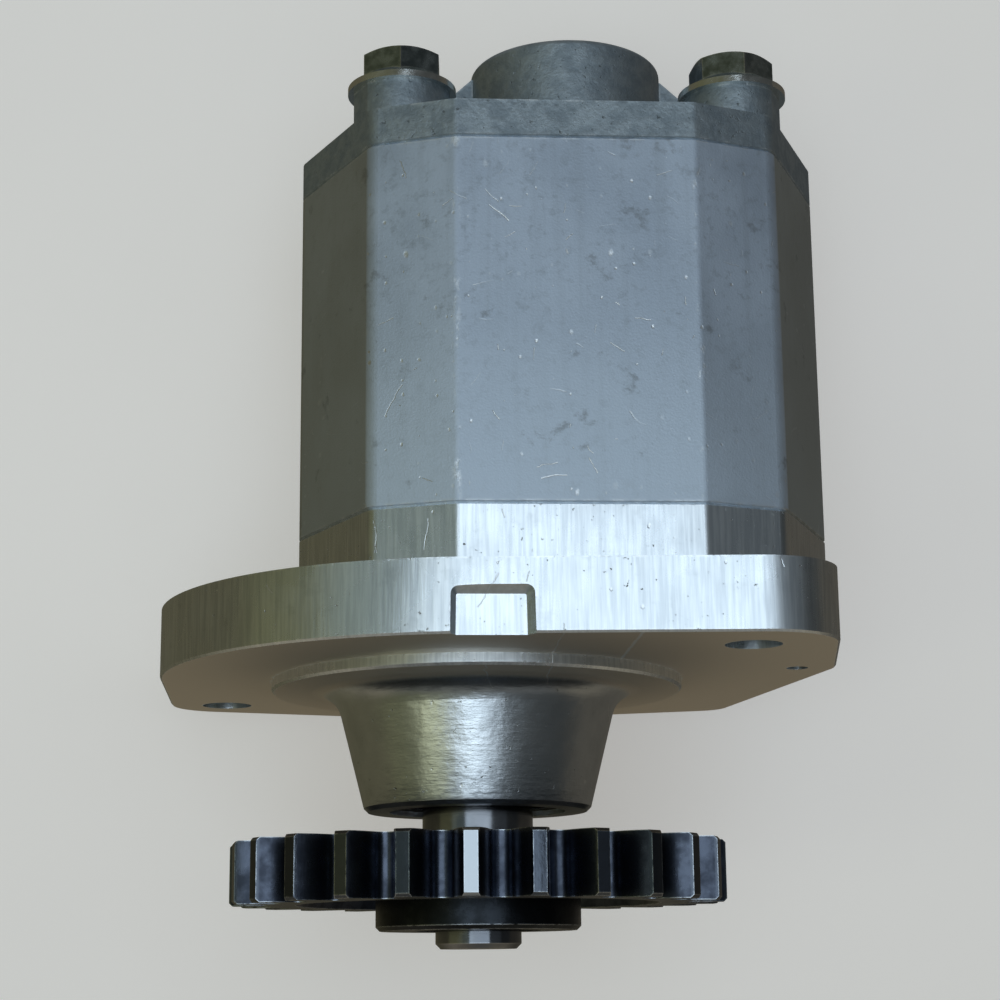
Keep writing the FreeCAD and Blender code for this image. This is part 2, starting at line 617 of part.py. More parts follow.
def make_lip_seal():
    """Radial shaft seal: a cup with a lip that reaches in to the shaft, its spring groove outside."""
    body = new_body("shaft_seal", "lip_seal_back - seal_play")
    outer, width = "lip_seal_outer - press_gap", "lip_seal_width"
    web, shell = f"{width} - seal_web", f"{outer} - seal_shell"
    neck, bead = "lip_radius + lip_neck", "lip_radius + lip_bead"
    revolve(body, [(outer, "0"), (outer, f"{width} - 0.5"), (f"{outer} - 0.5", width),
                   (neck, width), (neck, web), (neck, "lip_height + lip_foot"),
                   ("lip_radius", "lip_height"), ("lip_radius + lip_foot / 2", "lip_foot"),
                   (f"{neck} + 0.2", "lip_foot"), (f"{neck} + 0.2", "lip_foot + 0.5"),
                   (bead, "lip_foot + 1.1"), (bead, web), (shell, web), (shell, "0")])
    return body


def make_seal_spring():
    """Garter spring that presses the lip on the shaft."""
    wire = size("spring_wire")
    torus = Part.makeTorus(size("lip_radius + lip_bead + seal_play") + wire, wire)
    return shape_node("seal_spring", torus, "lip_seal_back - seal_play - spring_height")


def make_race(label, seat, land):
    """One race of the ball bearing, from its seat to the land beside its groove."""
    width = size("bearing_width")
    pitch = size("bearing_pitch")
    low, high = sorted((size(seat), size(land)))
    ring = Part.makeCylinder(high, width).cut(Part.makeCylinder(low, width))
    groove = Part.makeTorus(pitch, size("ball + race_gap"), Vector(0, 0, width / 2))
    race = ring.cut(groove)
    return shape_node(label, race, "bearing_back")


def ball_places():
    count = int(size("ball_count"))
    pitch = size("bearing_pitch")
    for i in range(count):
        heading = 2 * math.pi * i / count
        yield Vector(pitch * math.cos(heading), pitch * math.sin(heading), size("bearing_width / 2"))


def make_balls():
    balls = [Part.makeSphere(size("ball"), place) for place in ball_places()]
    return shape_node("bearing_balls", Part.makeCompound(balls), "bearing_back")


def make_cage():
    """Ring that spaces the balls, with a round hole through it for each."""
    width = size("cage_width")
    base = Vector(0, 0, size("bearing_width") / 2 - width / 2)
    inner, outer = size("cage_inner"), size("cage_outer")
    cage = Part.makeCylinder(outer, width, base).cut(Part.makeCylinder(inner, width, base))
    for place in ball_places():
        outward = Vector(place.x, place.y, 0).normalize()
        start = place - outward * size("ball")
        cage = cage.cut(Part.makeCylinder(size("ball + race_gap"), 2 * size("ball"), start, outward))
    return shape_node("bearing_cage", cage, "bearing_back")


def make_clip(label, station, inner, outer, thick, gap, lug_radius, lugs_inside, spin):
    """A retaining ring: an open flat ring with a drilled lug at each end, in degrees of gap."""
    ring = Part.makeCylinder(outer, thick).cut(Part.makeCylinder(inner, thick))
    half = math.radians(gap / 2)
    reach = 2 * outer
    wedge = Part.Face(Part.makePolygon([Vector(0, 0, 0),
                                        Vector(reach * math.cos(half), reach * math.sin(half), 0),
                                        Vector(reach * math.cos(half), -reach * math.sin(half), 0),
                                        Vector(0, 0, 0)]))
    ring = ring.cut(wedge.extrude(Vector(0, 0, thick)))
    inset = lug_radius * size("lug_inset")
    centre = inner - inset if lugs_inside else outer - inset
    for side in (1, -1):
        heading = side * (half + lug_radius / centre)
        place = Vector(centre * math.cos(heading), centre * math.sin(heading), 0)
        ring = ring.fuse(Part.makeCylinder(lug_radius, thick, place))
        ring = ring.cut(Part.makeCylinder(lug_radius * size("lug_hole"), thick, place))
    return shape_node(label, ring.removeSplitter(), station, spin=spin)


# ---------------------------------------------------------------- fasteners
def flange_bolt():
    """An M10 flange bolt, head up at the negative end of Z, its seat at Z = 0."""
    flats, head = size("bolt_flats"), size("bolt_head")
    corner = flats / 2 / math.cos(math.radians(30))
    hexagon = Part.makePolygon([Vector(corner * math.cos(math.radians(60 * i + 30)),
                                       corner * math.sin(math.radians(60 * i + 30)), -head)
                                for i in range(7)])
    prism = Part.Face(hexagon).extrude(Vector(0, 0, head))
    crown = Part.makeCone(flats / 2 - 0.5, flats / 2 - 0.5 + 2 * head, head, Vector(0, 0, -head))
    rim = size("bolt_flange")
    thick = size("bolt_flange_thick")
    disc = Part.makeCylinder(rim, thick, Vector(0, 0, -thick))
    slope = size("bolt_skirt")
    skirt = Part.makeCone(flats / 2 + 0.4, rim - 0.4, slope, Vector(0, 0, -thick - slope))
    length = size("bolt_length")
    shank = Part.makeCylinder(size("bolt_shank"), length - 1)
    point = Part.makeCone(size("bolt_shank"), size("bolt_shank") - 1, 1, Vector(0, 0, length - 1))
    return prism.common(crown).fuse([disc, skirt, shank, point]).removeSplitter()


def make_body_bolts():
    """The four bolts that clamp the covers and the body; their seats are the rear bosses."""
    bolts = []
    for (x, z), turn in zip(BOLTS, BOLT_TURNS):
        bolt = flange_bolt()
        bolt.rotate(Vector(0, 0, 0), Vector(0, 0, 1), turn)
        bolt.translate(Vector(size(x), size(z), 0))
        bolts.append(bolt)
    return shape_node("body_bolts", Part.makeCompound(bolts), "bolt_seat")


def make_dowels(label, station):
    length, radius = size("dowel_length"), size("dowel_radius - press_gap")
    pins = [Part.makeCylinder(radius, length, Vector(size(x), size(z), -length / 2)) for x, z in DOWELS]
    return shape_node(label, Part.makeCompound(pins), station)


def make_all():
    parts = [make_front_cover(), make_pump_body(), make_rear_cover(), make_body_bolts(),
             make_dowels("front_dowels", "front_joint"), make_dowels("rear_dowels", "rear_joint"),
             make_body_seal("front_body_seal", "front_joint"),
             make_body_seal("rear_body_seal", "rear_joint + seal_depth - seal_slack")]
    front = "front_joint + block_width"
    parts.append(make_block("front_bearing_block", front, False))
    parts.append(make_block("rear_bearing_block", "rear_joint", True))
    parts.append(make_balance_seal("front_balance_seal", "front_joint + balance_depth - seal_slack"))
    parts.append(make_balance_seal("rear_balance_seal", "rear_joint"))
    for side, station in (("front", front), ("rear", "rear_joint")):
        for shaft, x in (("drive", "0"), ("driven", "centre_distance")):
            parts.append(make_bush(f"{side}_{shaft}_bush", station, x))
    parts.append(make_drive_shaft())
    parts.append(make_shaft("driven_gear", "centre_distance", 15, "rear_joint - front_joint - 1.5"))
    parts.append(make_lip_seal())
    parts.append(make_seal_spring())
    parts.append(make_race("bearing_outer_race", "bearing_outer - press_gap", "outer_land"))
    parts.append(make_race("bearing_inner_race", "journal + press_gap", "inner_land"))
    parts.append(make_balls())
    parts.append(make_cage())
    ring_station = "bearing_back - bearing_width - 0.1"
    parts.append(make_clip("bearing_clip", ring_station, size("ring_inner"), size("ring_groove - 0.1"),
                           size("ring_thick"), size("ring_gap"), size("ring_lug"), True,
                           size("ring_turn")))
    parts.append(make_ring("spacer_collar", "bearing_back - bearing_width - 0.05", "journal + press_gap",
                           "collar_radius", "bearing_back - bearing_width - gear_back - 0.1"))
    parts.append(make_drive_gear())
    parts.append(make_gear_key())
    parts.append(make_clip("gear_clip", "hub_front + hub_recess_depth", size("clip_inner"),
                           size("clip_outer"), size("clip_thick - 0.05"), size("clip_gap"),
                           size("clip_lug"), False, size("clip_turn")))
    return parts


def check_and_write(parts):
    """Stop on any failed object, then write each sub-part to its own file."""
    doc.recompute()
    for item in doc.Objects:
        if {"Invalid", "Error"} & set(item.State):
            raise RuntimeError(f"{item.Label} failed: {item.State}")
    os.makedirs("parts", exist_ok=True)
    for part in parts:
        if part.Shape.isNull() or not part.Shape.isValid():
            raise RuntimeError(f"{part.Label} has no valid shape")
        part.Shape.exportStep(f"parts/{part.Label}.step")
        print(f"{part.Label}: {part.Shape.Volume / 1000:.2f} cm3, solids {len(part.Shape.Solids)}")


check_and_write(make_all())
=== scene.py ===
import json
import math

import bmesh
import bpy
from mathutils import Matrix, Vector


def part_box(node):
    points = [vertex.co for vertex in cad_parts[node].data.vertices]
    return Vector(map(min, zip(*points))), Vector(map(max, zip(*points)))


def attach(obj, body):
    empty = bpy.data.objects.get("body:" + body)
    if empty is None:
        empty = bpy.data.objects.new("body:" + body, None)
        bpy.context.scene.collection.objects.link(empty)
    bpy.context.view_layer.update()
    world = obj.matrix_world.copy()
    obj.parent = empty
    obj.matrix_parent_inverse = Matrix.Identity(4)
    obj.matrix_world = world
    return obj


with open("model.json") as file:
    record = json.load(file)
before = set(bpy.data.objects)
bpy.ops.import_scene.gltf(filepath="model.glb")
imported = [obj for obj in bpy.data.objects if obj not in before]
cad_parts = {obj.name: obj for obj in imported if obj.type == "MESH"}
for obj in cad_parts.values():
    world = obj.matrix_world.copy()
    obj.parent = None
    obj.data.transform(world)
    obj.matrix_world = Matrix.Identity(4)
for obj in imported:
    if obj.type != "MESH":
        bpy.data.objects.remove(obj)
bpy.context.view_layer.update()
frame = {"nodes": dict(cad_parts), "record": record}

# Hydraulic gear pump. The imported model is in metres; sizes here are in millimetres, times MM.
MM = 0.001
nodes = frame["nodes"]
mounts = {mount["name"]: mount for mount in frame["record"]["mounts"]}


# ---------------------------------------------------------------- places read from the frame
BODY_LOW, BODY_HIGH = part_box("pump_body")
BODY_MIDDLE = (BODY_LOW.x + BODY_HIGH.x) / 2
GEAR_LOW, GEAR_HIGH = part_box("drive_gear")
GEAR_RADIUS = (GEAR_HIGH.x - GEAR_LOW.x) / 2
COVER_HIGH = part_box("rear_cover")[1]
COVER_BACK = COVER_HIGH.y - 22.0 * MM
BOLT_SEAT = COVER_HIGH.y - 15.9 * MM
FLANGE_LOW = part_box("front_cover")[0]

# ---------------------------------------------------------------- sizes
FLAT_HALF = 23.5 * MM               # half the width of the housing's blank face
PALE_END, PALE_START = 85 * MM, 30 * MM         # painted light: the housing is painted paler towards the flange
NOSE_START, NOSE_FULL = -2.6 * MM, -4.0 * MM    # where the flange's finish gives way to the nose's
BOLT_RIM = 1.2 * MM                 # height of the painted highlight on a bolt flange's rim, over its seat
HUB_RADIUS = 20.3 * MM
HIGHLIGHT_TOOTH = math.radians(94.5)             # the tooth whose tip carries the painted highlight, from +X to +Z
FLANGE_REST = 13.0 * MM             # where the flange's rim rests on the floor
FLOOR_GAP = 0.2 * MM
FLOOR_SIZE = 4
FLOOR_GLOW = 0.34
LIGHT_AIM = Vector((10, 35, 0)) * MM
LIGHT_DISTANCE = 1.1

THREAD_PITCH = 1.814 * MM           # 14 threads to the inch
THREAD_STEPS = 40                   # sections in one turn
THREAD_DEPTH = 0.58                 # in pitches, as are the two half widths
THREAD_ROOT_HALF, THREAD_CREST_HALF = 0.46, 0.07
THREAD_SINK = 0.03 * MM             # how far the ridge's root is sunk in the wall
THREAD_END = 0.04                   # share of the depth left where a ridge runs out

FLAT_COSINE, EDGE_COSINE = 0.995, 0.93      # between the true and the rounded normal
UPRIGHT_TILT, LEVEL_TILT = 0.35, 0.6        # height of a unit normal
BEND_SIZE = 0.35                    # of the bends in a mark's outline, in cells
SCRATCH_BEND = 0.16                 # in cells
NICK_BEND = 1.6                     # in sizes
SOFT_EDGE = 0.3                     # share of a mark's reach from which it fades
LEAST_NICK = 0.3                    # in sizes


# ---------------------------------------------------------------- shader helpers
def colour(value):
    return (*value, 1.0) if isinstance(value, tuple) and len(value) == 3 else value


class Nodes:
    """A node tree under construction: short calls for the nodes it uses again and again. A value is
    a number, a tuple or the output of another node."""

    def __init__(self, tree, coordinates):
        self.tree = tree
        self.place = self.node("ShaderNodeTexCoord").outputs[coordinates]

    def node(self, kind, **settings):
        made = self.tree.nodes.new(kind)
        for key, value in settings.items():
            setattr(made, key, value)
        return made

    def link(self, source, target):
        if isinstance(source, bpy.types.NodeSocket):
            self.tree.links.new(source, target)
        else:
            target.default_value = source

    def axes(self, source=None):
        """The x, y and z of a vector, or of the place on the surface."""
        made = self.node("ShaderNodeSeparateXYZ")
        self.link(source or self.place, made.inputs[0])
        return made.outputs

    def step(self, value, low, high, start=0.0, end=1.0):
        """start up to low, end from high on, smooth between. low may be the larger."""
        made = self.node("ShaderNodeMapRange", interpolation_type="SMOOTHSTEP")
        self.link(value, made.inputs["Value"])
        for key, number in (("From Min", low), ("From Max", high), ("To Min", start), ("To Max", end)):
            self.link(number, made.inputs[key])
        return made.outputs["Result"]

    def mix(self, amount, a, b):
        """Colour a where amount is 0, b where it is 1."""
        made = self.node("ShaderNodeMix", data_type="RGBA")
        self.link(amount, made.inputs["Factor"])
        self.link(colour(a), made.inputs["A"])
        self.link(colour(b), made.inputs["B"])
        return made.outputs["Result"]


class Shader(Nodes):
    """A material under construction, on places in the piece's own frame."""

    def __init__(self, name):
        self.material = bpy.data.materials.new(name)
        self.material.use_nodes = True
        super().__init__(self.material.node_tree, "Object")
        self.surface = self.tree.nodes["Principled BSDF"]
        self.heights = None

    def math(self, operation, a, b=0.0):
        made = self.node("ShaderNodeMath", operation=operation)
        self.link(a, made.inputs[0])
        self.link(b, made.inputs[1])
        return made.outputs[0]

    def times(self, a, b):
        return self.math("MULTIPLY", a, b)

    def most(self, a, b):
        return self.math("MAXIMUM", a, b)

    def less(self, a, b):
        return self.math("SUBTRACT", a, b)

    def apart(self, a, b):
        return self.math("ABSOLUTE", self.less(a, b))

    def vector(self, operation, a, b=(0, 0, 0)):
        made = self.node("ShaderNodeVectorMath", operation=operation)
        self.link(a, made.inputs[0])
        self.link(b, made.inputs[1])
        return made.outputs["Value" if operation in ("DOT_PRODUCT", "LENGTH") else "Vector"]

    def combine(self, x, y, z):
        made = self.node("ShaderNodeCombineXYZ")
        for socket, value in zip(made.inputs, (x, y, z)):
            self.link(value, socket)
        return made.outputs[0]

    def noise(self, size, detail=4.0, rough=0.55, stretch=(1, 1, 1), offset=(0, 0, 0)):
        """Noise whose blotches are about size mm across, drawn out where stretch is under 1."""
        place = self.vector("ADD", self.vector("MULTIPLY", self.place, stretch), offset)
        made = self.node("ShaderNodeTexNoise")
        self.link(place, made.inputs["Vector"])
        made.inputs["Scale"].default_value = 1 / (size * MM)
        made.inputs["Detail"].default_value = detail
        made.inputs["Roughness"].default_value = rough
        made.inputs["Distortion"].default_value = 0.0
        return made.outputs["Fac"]

    def over(self, base, amount, share, tint):
        """A tint laid over base, as strong as amount times share."""
        return self.mix(self.times(amount, share), base, tint)

    def blend(self, amount, a, b):
        """Number a where amount is 0, b where it is 1."""
        made = self.node("ShaderNodeMix", data_type="FLOAT")
        self.link(amount, made.inputs["Factor"])
        self.link(a, made.inputs["A"])
        self.link(b, made.inputs["B"])
        return made.outputs["Result"]

    def radius(self, x=0.0, z=0.0):
        """Distance from an axis along Y through (x, z)."""
        axes = self.axes()
        return self.vector("LENGTH", self.combine(self.less(axes[0], x), self.less(axes[2], z), 0.0))

    def facing(self, axis):
        """How far the surface faces along x, y or z (0, 1 or 2), from -1 to 1."""
        return self.axes(self.node("ShaderNodeTexCoord").outputs["Normal"])[axis]

    def level(self):
        """1 on faces that lie level, 0 on faces that stand upright."""
        return self.step(self.math("ABSOLUTE", self.facing(2)), UPRIGHT_TILT, LEVEL_TILT)

    def edges(self, reach):
        """1 on edges within reach mm, where a rounded normal leaves the true one."""
        bevel = self.node("ShaderNodeBevel", samples=6)
        bevel.inputs["Radius"].default_value = reach * MM
        flat = self.node("ShaderNodeNewGeometry").outputs["Normal"]
        return self.step(self.vector("DOT_PRODUCT", bevel.outputs[0], flat), FLAT_COSINE, EDGE_COSINE)

    def cells(self, cell, wobble, seed):
        """Random cells in the XY plane, bent by wobble mm: (offset from the cell's point, three
        random numbers of the cell)."""
        bend = self.node("ShaderNodeTexNoise")
        self.link(self.place, bend.inputs["Vector"])
        bend.inputs["Scale"].default_value = 1 / (cell * MM * BEND_SIZE)
        shift = self.vector("SUBTRACT", bend.outputs["Color"], (0.5, 0.5, 0.5))
        bent = self.vector("ADD", self.place, self.vector("MULTIPLY", shift, (wobble * MM,) * 3))
        axes = self.axes(bent)
        plane = self.combine(axes[0], axes[1], float(seed) * cell * MM)
        made = self.node("ShaderNodeTexVoronoi")
        made.inputs["Scale"].default_value = 1 / (cell * MM)
        self.link(plane, made.inputs["Vector"])
        offset = self.vector("SUBTRACT", plane, made.outputs["Position"])
        return offset, self.axes(made.outputs["Color"])

    def scratches(self, cell, width, length, share, seed, lean=1.0):
        """Short scratches, at most one to a cell, each at an angle of its own: any angle for a lean
        of 1, and closer to +Y for less."""
        offset, chance = self.cells(cell, SCRATCH_BEND * cell, seed)
        turned = self.node("ShaderNodeVectorRotate", rotation_type="Z_AXIS")
        self.link(offset, turned.inputs["Vector"])
        self.link(self.times(self.less(chance[0], 0.5), math.pi * lean), turned.inputs["Angle"])
        parts = self.axes(turned.outputs[0])
        reach = self.times(chance[1], length * MM)
        along = self.math("LESS_THAN", self.math("ABSOLUTE", parts[1]), reach)
        aside = self.math("ABSOLUTE", parts[0])
        across = self.step(aside, width * MM * SOFT_EDGE, width * MM, 1.0, 0.0)
        chosen = self.math("LESS_THAN", chance[2], share)
        return self.times(self.times(along, across), chosen)

    def nicks(self, cell, size, share, seed):
        """Small irregular dents of mixed sizes, at most one to a cell."""
        offset, chance = self.cells(cell, NICK_BEND * size, seed)
        stretched = self.vector("MULTIPLY", offset, (1.0, 0.7, 0.0))
        reach = self.times(self.math("ADD", chance[1], LEAST_NICK), size * MM)
        near = self.step(self.vector("LENGTH", stretched), self.times(reach, SOFT_EDGE), reach, 1.0, 0.0)
        return self.times(near, self.math("LESS_THAN", chance[0], share))

    def height(self, value, millimetres):
        """Add value times millimetres to the relief."""
        lift = self.times(value, millimetres * MM)
        self.heights = lift if self.heights is None else self.math("ADD", self.heights, lift)

    def finish(self, base, roughness, metallic=1.0):
        self.link(colour(base), self.surface.inputs["Base Color"])
        self.link(roughness, self.surface.inputs["Roughness"])
        self.surface.inputs["Metallic"].default_value = metallic
        if self.heights is not None:
            bump = self.node("ShaderNodeBump")
            bump.inputs["Strength"].default_value = 1.0
            bump.inputs["Distance"].default_value = 1.0
            self.link(self.heights, bump.inputs["Height"])
            self.link(bump.outputs[0], self.surface.inputs["Normal"])
        return self.material


# ---------------------------------------------------------------- materials
def body_alloy():
    """Extruded housing: fine grain, faint draw lines, scratches and bright worn corners. Painted light
    makes it paler towards the flange; painted shade with an olive floor reflection dulls its upright
    sides."""
    s = Shader("body_alloy")
    dim, pale, painted_light_pale = (0.56, 0.64, 0.75), (0.68, 0.765, 0.88), (0.80, 0.90, 1.0)
    line, blotch, dirt = (0.40, 0.45, 0.50), (0.36, 0.41, 0.46), (0.15, 0.15, 0.14)
    side_painted_shade, bare = (0.43, 0.43, 0.37), (0.88, 0.92, 0.95)
    cloud = s.noise(24, 5, stretch=(1, 0.7, 1))
    lines = s.noise(2.2, 2, stretch=(1, 0.03, 1))
    mottle = s.noise(2.4, 4, 0.7)
    base = s.mix(s.step(cloud, 0.35, 0.65), dim, pale)
    base = s.over(base, s.step(lines, 0.45, 0.7), 0.14, line)
    base = s.over(base, s.step(mottle, 0.5, 0.72), 0.35, blotch)
    # painted light: paler towards the flange
    base = s.over(base, s.step(s.axes()[1], PALE_END, PALE_START), 0.6, painted_light_pale)
    # painted shade with an olive floor reflection on the upright sides
    base = s.over(base, s.less(1.0, s.level()), 0.9, side_painted_shade)
    dirty = s.noise(8, 6, 0.65, offset=(0.03, 0.012, 0.02))
    base = s.over(base, s.step(dirty, 0.60, 0.70), 0.36, dirt)

    scratches = s.most(s.scratches(6, 0.13, 2.0, 0.30, 3), s.scratches(13, 0.20, 4.5, 0.24, 8))
    chips = s.most(s.nicks(3.2, 0.34, 0.16, 15), s.nicks(8, 0.55, 0.20, 5))
    patchy = s.step(s.noise(18, 3, offset=(0.1, 0.05, 0)), 0.42, 0.58)
    marks = s.times(s.most(scratches, chips), s.times(s.blend(patchy, 0.2, 1.0), s.level()))

    worn = s.times(s.edges(1.0), s.step(s.noise(2.5, 4), 0.40, 0.62))
    aside = s.apart(s.axes()[0], BODY_MIDDLE)
    corner = s.step(s.apart(aside, FLAT_HALF), 1.2 * MM, 0.3 * MM)
    rubs = s.step(s.noise(2.6, 4, 0.65, stretch=(1, 0.5, 1), offset=(0.04, 0.07, 0)), 0.53, 0.64)
    rubbed = s.times(s.times(corner, rubs), s.level())
    worn = s.most(worn, s.times(rubbed, s.blend(patchy, 0.9, 0.35)))
    marks = s.most(marks, s.times(worn, 0.75))
    base = s.mix(marks, base, bare)

    s.height(s.noise(0.45, 3), 0.05)
    s.height(lines, 0.015)
    s.height(marks, -0.05)
    return s.finish(base, s.blend(marks, s.step(cloud, 0.3, 0.7, 0.63, 0.69), 0.38))


def front_alloy():
    """Front cover: machined rim and band, smooth mounting face with a painted warm reflection of the
    floor, turned nose.
    """
    s = Shader("front_alloy")
    dim, pale = (0.66, 0.71, 0.75), (0.84, 0.89, 0.92)
    cast_dim, cast_pale = (0.62, 0.66, 0.69), (0.78, 0.82, 0.85)
    stain, pit, face_painted_reflection, bare = (0.42, 0.46, 0.48), (0.12, 0.13, 0.13), (0.80, 0.73, 0.63), (0.92, 0.95, 0.97)
    nose = s.step(s.axes()[1], NOSE_START, NOSE_FULL)
    rim = s.less(1.0, nose)
    face = s.times(s.step(s.facing(1), -0.8, -0.95), rim)
    brush = s.noise(0.7, 3, stretch=(1, 0.05, 1))
    rings = s.noise(0.7, 3, stretch=(0.22, 1, 0.22))
    cloud = s.noise(12, 5)
    base = s.mix(s.step(brush, 0.3, 0.7), dim, pale)
    base = s.mix(nose, base, s.mix(s.step(cloud, 0.3, 0.7), cast_dim, cast_pale))
    stains = s.step(s.noise(6, 5, 0.6, offset=(0.02, 0.03, 0.01)), 0.56, 0.68)
    base = s.over(base, stains, 0.22, stain)
    pits = s.step(s.noise(1.1, 4, offset=(0.05, 0, 0.01)), 0.68, 0.76)
    base = s.over(base, pits, 0.6, pit)
    # painted reflection: the mounting face is tinted with the floor's warm colour
    base = s.mix(face, base, face_painted_reflection)
    marks = s.most(s.scratches(8, 0.12, 3.5, 0.20, 21, 0.5), s.nicks(5, 0.4, 0.12, 27))
    marks = s.most(marks, s.times(s.edges(0.8), s.step(s.noise(2, 4), 0.42, 0.6)))
    base = s.over(base, marks, 0.8, bare)

    s.height(s.times(brush, rim), 0.022)
    s.height(s.times(rings, nose), 0.05)
    s.height(s.times(s.noise(3.0, 4), nose), 0.10)
    s.height(pits, -0.06)
    s.height(marks, -0.03)
    rough = s.blend(nose, s.step(cloud, 0.3, 0.7, 0.24, 0.32), 0.30)
    return s.finish(base, s.blend(face, rough, 0.55))


def cover_alloy():
    """Rear cover: rougher casting, darker and mottled."""
    s = Shader("cover_alloy")
    dim, pale, pit, bare = (0.33, 0.39, 0.44), (0.46, 0.53, 0.58), (0.12, 0.13, 0.14), (0.84, 0.88, 0.90)
    cloud = s.noise(3.4, 6, 0.66)
    base = s.mix(s.step(cloud, 0.34, 0.66), dim, pale)
    pits = s.step(s.noise(1.2, 4, offset=(0.02, 0.06, 0.01)), 0.63, 0.75)
    base = s.over(base, pits, 0.45, pit)
    worn = s.times(s.edges(0.8), s.step(s.noise(2.5, 4), 0.45, 0.62))
    base = s.over(base, worn, 0.6, bare)

    s.height(s.noise(0.9, 5, 0.65), 0.12)
    s.height(cloud, 0.15)
    s.height(pits, -0.10)
    return s.finish(base, s.step(cloud, 0.3, 0.7, 0.60, 0.52))


def bolt_zinc():
    """Clamping bolts: dark plated heads, a painted highlight on their flange rims, edges bright from wear
    and painted highlight.
    """
    s = Shader("bolt_zinc")
    dim, pale, bare = (0.24, 0.29, 0.30), (0.42, 0.48, 0.49), (0.78, 0.80, 0.78)
    cloud = s.noise(2.5, 5)
    base = s.mix(s.step(cloud, 0.35, 0.68), dim, pale)
    # painted highlight: the flange's rim is painted bright, and the edges partly so
    rim = s.step(s.axes()[1], BOLT_SEAT + 1.5 * MM, BOLT_SEAT + BOLT_RIM)
    base = s.mix(s.most(rim, s.times(s.edges(0.5), 0.8)), base, bare)

    s.height(s.noise(0.6, 3), 0.02)
    return s.finish(base, s.step(cloud, 0.3, 0.7, 0.16, 0.28))


def gear_steel(tip):
    """Drive gear of tip radius tip: blackened steel, its hub darkened by painted shade, its edges bright
    from wear and painted highlight, and one tooth tip lit by a painted highlight."""
    s = Shader("gear_steel")
    black, blued, hub_painted_shade = (0.042, 0.049, 0.066), (0.095, 0.110, 0.145), (0.014, 0.016, 0.015)
    rubbed, tip_highlight, bare = (0.10, 0.115, 0.14), (0.41, 0.44, 0.47), (0.70, 0.75, 0.80)
    cloud = s.noise(4, 5)
    base = s.mix(s.step(cloud, 0.35, 0.65), black, blued)
    # painted shade: the hub, which stands in shadow, is darkened near black
    base = s.over(base, s.step(s.radius(), HUB_RADIUS + 1.5 * MM, HUB_RADIUS + 0.5 * MM), 0.8, hub_painted_shade)
    land = s.step(s.radius(), tip - 0.6 * MM, tip - 0.2 * MM)
    base = s.over(base, land, 0.8, rubbed)
    # painted highlight on the tip land of one tooth
    from_tooth = s.radius(tip * math.cos(HIGHLIGHT_TOOTH), tip * math.sin(HIGHLIGHT_TOOTH))
    base = s.over(base, land, s.step(from_tooth, 2.8 * MM, 2.2 * MM), tip_highlight)
    # bright edges: partly wear, partly painted highlight
    worn = s.times(s.edges(0.35), s.step(s.noise(1.6, 4), 0.30, 0.55))
    base = s.over(base, worn, 0.85, bare)

    s.height(s.noise(0.5, 3, stretch=(1, 0.05, 1)), 0.010)
    s.height(s.noise(1.2, 4), 0.02)
    return s.finish(base, s.blend(land, s.step(cloud, 0.3, 0.7, 0.34, 0.24), 0.16))


def ground_steel(name, dim, pale, rough_low, rough_high):
    """Turned or ground metal with fine rings round the shaft."""
    s = Shader(name)
    cloud = s.step(s.noise(6, 4), 0.3, 0.7)
    base = s.over(s.mix(cloud, dim, pale), s.edges(0.4), 0.5, (0.85, 0.86, 0.88))
    s.height(s.noise(0.4, 2, stretch=(0.02, 1, 0.02)), 0.008)
    return s.finish(base, s.blend(cloud, rough_low, rough_high))


def seal_rubber():
    s = Shader("seal_rubber")
    cloud = s.noise(3, 4)
    base = s.mix(s.step(cloud, 0.3, 0.7), (0.012, 0.012, 0.013), (0.035, 0.034, 0.033))
    s.height(s.noise(0.5, 3), 0.02)
    return s.finish(base, s.step(cloud, 0.3, 0.7, 0.45, 0.62), metallic=0.0)


# ---------------------------------------------------------------- pieces
def port_thread(name, port, axis, share, material):
    """The ridge of a port's pipe thread: a bead wound along share of the hole's wall."""
    mount = mounts[port]
    radius, length = (mount["dims"][key] * MM for key in ("r_mm", "length_mm"))
    place = Vector(mount["pos_m"]) - axis * (length / 2 - THREAD_PITCH)
    turns = length * share / THREAD_PITCH
    root, crest = radius + THREAD_SINK, radius - THREAD_DEPTH * THREAD_PITCH
    section = ((root, -THREAD_ROOT_HALF), (crest, -THREAD_CREST_HALF),
               (crest, THREAD_CREST_HALF), (root, THREAD_ROOT_HALF))
    across = axis.orthogonal().normalized()
    other = axis.cross(across)

    bm = bmesh.new()
    rings = []
    for i in range(int(turns * THREAD_STEPS) + 1):
        angle = 2 * math.pi * i / THREAD_STEPS
        outward = across * math.cos(angle) + other * math.sin(angle)
        fade = min(1, i / (THREAD_STEPS / 2), (turns * THREAD_STEPS - i) / (THREAD_STEPS / 2))
        ring = []
        for reach, along in section:
            reach = root - (root - reach) * max(THREAD_END, fade)
            forward = axis * (THREAD_PITCH * (i / THREAD_STEPS + along))
            ring.append(bm.verts.new(place + outward * reach + forward))
        rings.append(ring)
    for ring, after in zip(rings, rings[1:]):
        for j in range(4):
            bm.faces.new((ring[j], ring[(j + 1) % 4], after[(j + 1) % 4], after[j]))
    bm.faces.new(rings[0])
    bm.faces.new(rings[-1][::-1])
    bmesh.ops.recalc_face_normals(bm, faces=bm.faces)
    mesh = bpy.data.meshes.new(name)
    bm.to_mesh(mesh)
    bm.free()

    piece = bpy.data.objects.new(name, mesh)
    bpy.context.scene.collection.objects.link(piece)
    piece.data.materials.append(material)
    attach(piece, "housing")


def paint(names, material):
    for name in names:
        node = nodes[name]
        node.data.materials.clear()
        node.data.materials.append(material)


